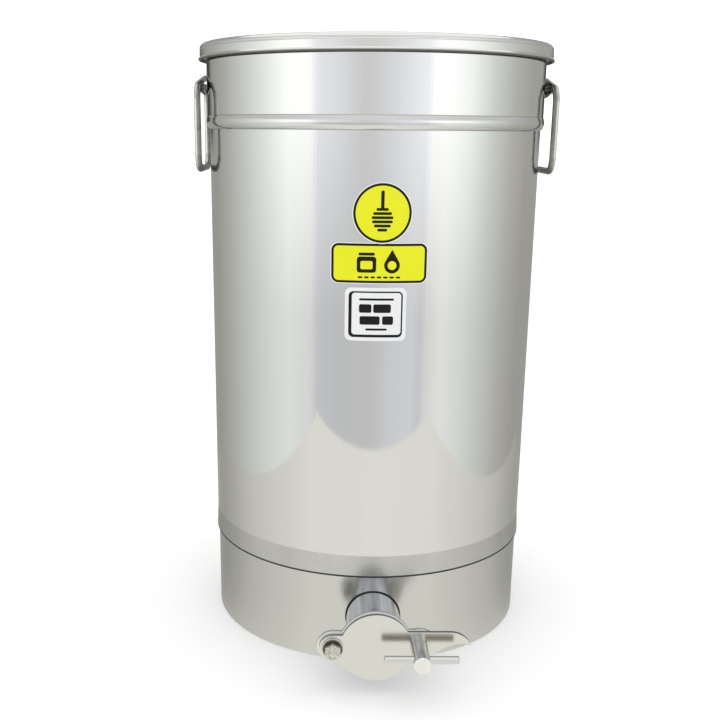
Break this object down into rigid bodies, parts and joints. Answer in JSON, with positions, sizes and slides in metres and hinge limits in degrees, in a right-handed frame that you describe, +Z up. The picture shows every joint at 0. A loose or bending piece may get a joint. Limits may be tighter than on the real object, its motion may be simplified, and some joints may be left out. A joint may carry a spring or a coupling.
{
  "type": "honey settling tank",
  "caption": "Stainless cylindrical tank with a lift-off lid, two drop handles and a swing gate at its foot for bottling honey.",
  "frame": {"origin": "middle of the base ring, on the floor that the tank stands on, on the tank's axis", "axes": "+Z up along the tank's axis, -Y out of the outlet pipe, +X towards the gate's clamp screw"},
  "size_m": [0.3286, 0.4025, 0.5415],
  "materials": {
    "polished_steel": "bright rolled stainless sheet, mirror-like",
    "satin_steel": "softly polished stainless sheet",
    "lid_steel": "spun and polished stainless sheet",
    "gate_steel": "polished stainless plate",
    "wire_steel": "drawn stainless wire",
    "fastener_steel": "turned stainless",
    "black_rubber": "matt",
    "pale_seal": "silicone",
    "yellow_label": "printed film",
    "white_label": "printed film"
  },
  "bodies": {
    "tank": {"tank_shell": "polished_steel", "base_skirt": "satin_steel", "tank_floor": "satin_steel", "outlet_pipe": "polished_steel", "outlet_seal": "black_rubber", "gate_plate": "gate_steel", "gate_seal": "pale_seal", "pivot_bolt": "fastener_steel", "pivot_washer": "fastener_steel", "pivot_spring_washer": "fastener_steel", "pivot_nut": "fastener_steel", "clamp_stud": "fastener_steel", "handle_bracket_left": "satin_steel", "handle_bracket_right": "satin_steel", "label_roundel": "yellow_label", "label_band": "yellow_label", "label_plate": "white_label"},
    "flap": {"gate_flap": "gate_steel"},
    "clamp_ring": {"clamp_washer": "fastener_steel"},
    "clamp": {"clamp_nut": "gate_steel", "clamp_bar": "gate_steel"},
    "handle_l": {"handle_left": "wire_steel"},
    "handle_r": {"handle_right": "wire_steel"},
    "lid": {"lid_pan": "lid_steel", "lid_gasket": "pale_seal"}
  },
  "joints": [
    {"name": "gate_swing", "type": "hinge", "parent": "tank", "child": "flap", "pos_m": [-0.037, -0.2091, 0.0443], "axis": [0, -1, 0], "range_deg": [0, 100]},
    {"name": "clamp_travel", "type": "slide", "parent": "tank", "child": "clamp_ring", "axis": [0, -1, 0], "range_m": [0, 0.0022]},
    {"name": "clamp_turn", "type": "hinge", "parent": "clamp_ring", "child": "clamp", "pos_m": [0.037, -0.2265, 0.0443], "axis": [0, -1, 0], "range_deg": [0, 630]},
    {"name": "handle_left_swing", "type": "hinge", "parent": "tank", "child": "handle_l", "pos_m": [-0.1597, 0, 0.506], "axis": [0, 1, 0], "range_deg": [0, 150]},
    {"name": "handle_right_swing", "type": "hinge", "parent": "tank", "child": "handle_r", "pos_m": [0.1597, 0, 0.506], "axis": [0, -1, 0], "range_deg": [0, 150]},
    {"name": "lid_lift", "type": "slide", "parent": "tank", "child": "lid", "axis": [0, 0, 1], "range_m": [0, 0.12]}
  ],
  "couplings": [
    {"joint": "clamp_travel", "follows": "clamp_turn", "m_per_rad": 0.00019894}
  ]
}
